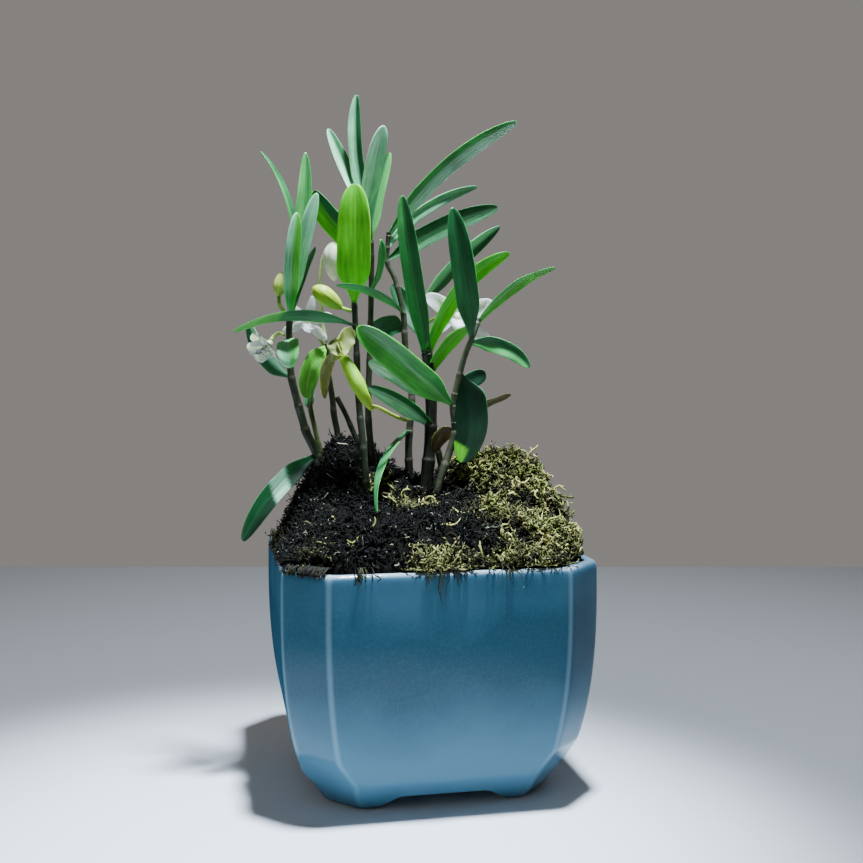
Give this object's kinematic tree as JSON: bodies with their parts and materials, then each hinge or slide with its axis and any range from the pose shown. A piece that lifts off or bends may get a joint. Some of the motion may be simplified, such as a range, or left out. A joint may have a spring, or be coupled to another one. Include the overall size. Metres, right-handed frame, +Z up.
{
  "type": "potted dendrobium orchid",
  "caption": "Small dendrobium orchid: upright leafy canes with white flowers and buds in a moss mound, in a glazed square pot with cut corners and feet.",
  "frame": {"origin": "on the floor, under the middle of the whole plant and pot; the pot's own axis stands 5.8 mm to +X and 1.4 mm to +Y of it, because the plant leans to -X", "axes": "+Z up; -Y out of the pot's front face, the plant's best side; +X to the right seen from there"},
  "size_m": [0.1018, 0.0932, 0.205],
  "materials": {
    "pot_glaze": "gloss",
    "bark_mix": "matte",
    "moss": "matte",
    "leaf": "satin",
    "cane": "matte",
    "petal": "satin",
    "stalk": "satin",
    "bud": "satin",
    "faded_flower": "satin"
  },
  "bodies": {
    "root": {"pot": "pot_glaze", "growing_medium": "bark_mix", "moss_mound": "moss", "cane_outer_left": "leaf", "cane_inner_left": "leaf", "cane_left_middle": "leaf", "cane_front": "leaf", "cane_tall_left": "leaf", "cane_tall_middle": "leaf", "cane_old_middle": "leaf", "cane_back_right": "leaf", "cane_right": "leaf", "cane_crooked_bare": "cane", "bloom_white_right": "petal", "stalk_white_right": "stalk", "bloom_white_left": "petal", "stalk_white_left": "stalk", "bloom_half_open": "petal", "stalk_half_open": "stalk", "bloom_fading": "faded_flower", "bud_yellow_green": "bud", "bud_hooded": "bud", "bud_small_left": "bud"}
  },
  "joints": []
}
